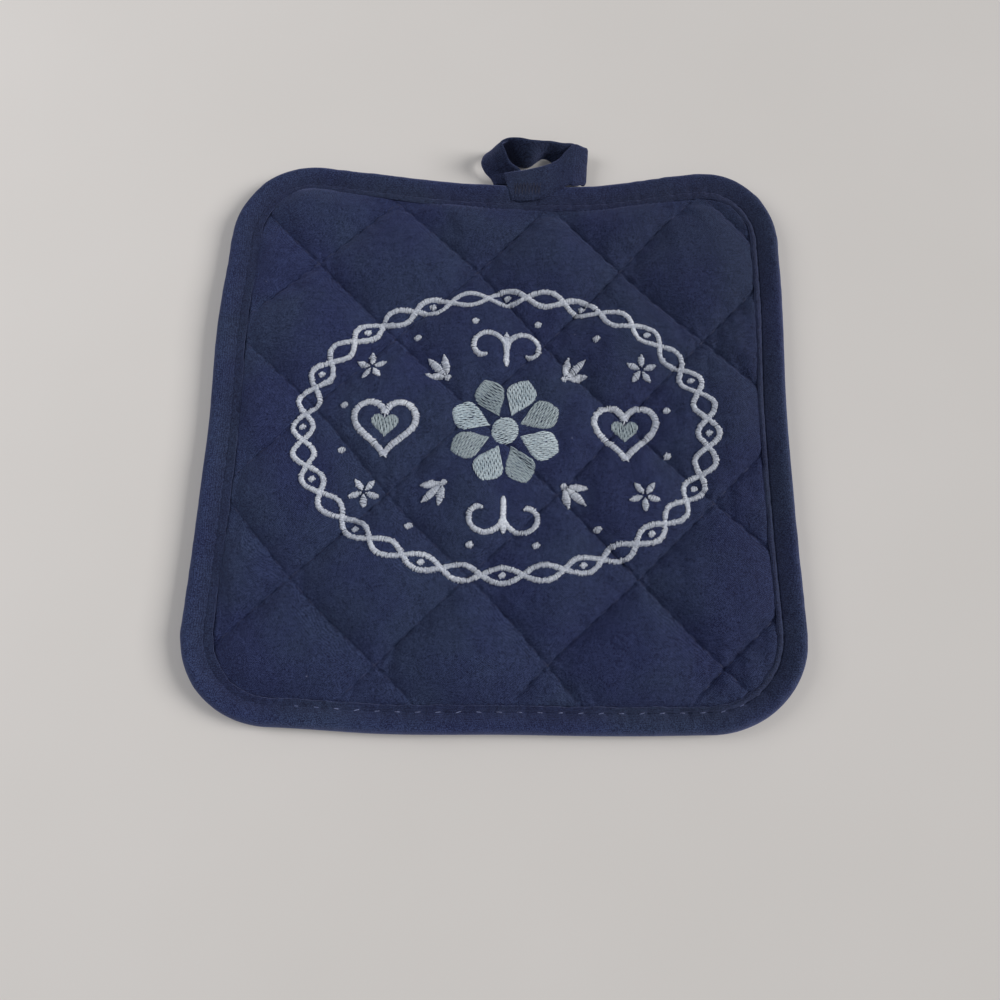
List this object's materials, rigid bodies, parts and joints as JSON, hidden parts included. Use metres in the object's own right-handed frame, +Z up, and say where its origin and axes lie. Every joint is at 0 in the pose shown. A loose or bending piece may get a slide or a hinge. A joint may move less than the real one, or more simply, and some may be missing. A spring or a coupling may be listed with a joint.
{
  "type": "quilted pot holder",
  "caption": "Square quilted pot holder with rounded corners, a bound edge, puffed diamond quilting and a folded fabric loop for hanging at the middle of one edge.",
  "frame": {"origin": "under the middle of the whole object's box, at the surface it lies on", "axes": "+Z up out of the face, +Y across the square towards the edge with the hanging loop, +X to the right of the face"},
  "size_m": [0.1898, 0.2024, 0.0116],
  "materials": {
    "face_cloth": "matt navy plain-weave cotton, quilted",
    "binding_cloth": "matt navy cotton binding strip",
    "tape_cloth": "matt navy folded cotton tape"
  },
  "bodies": {
    "root": {"quilted_pad": "face_cloth", "binding": "binding_cloth", "hanging_loop": "tape_cloth"}
  },
  "joints": []
}
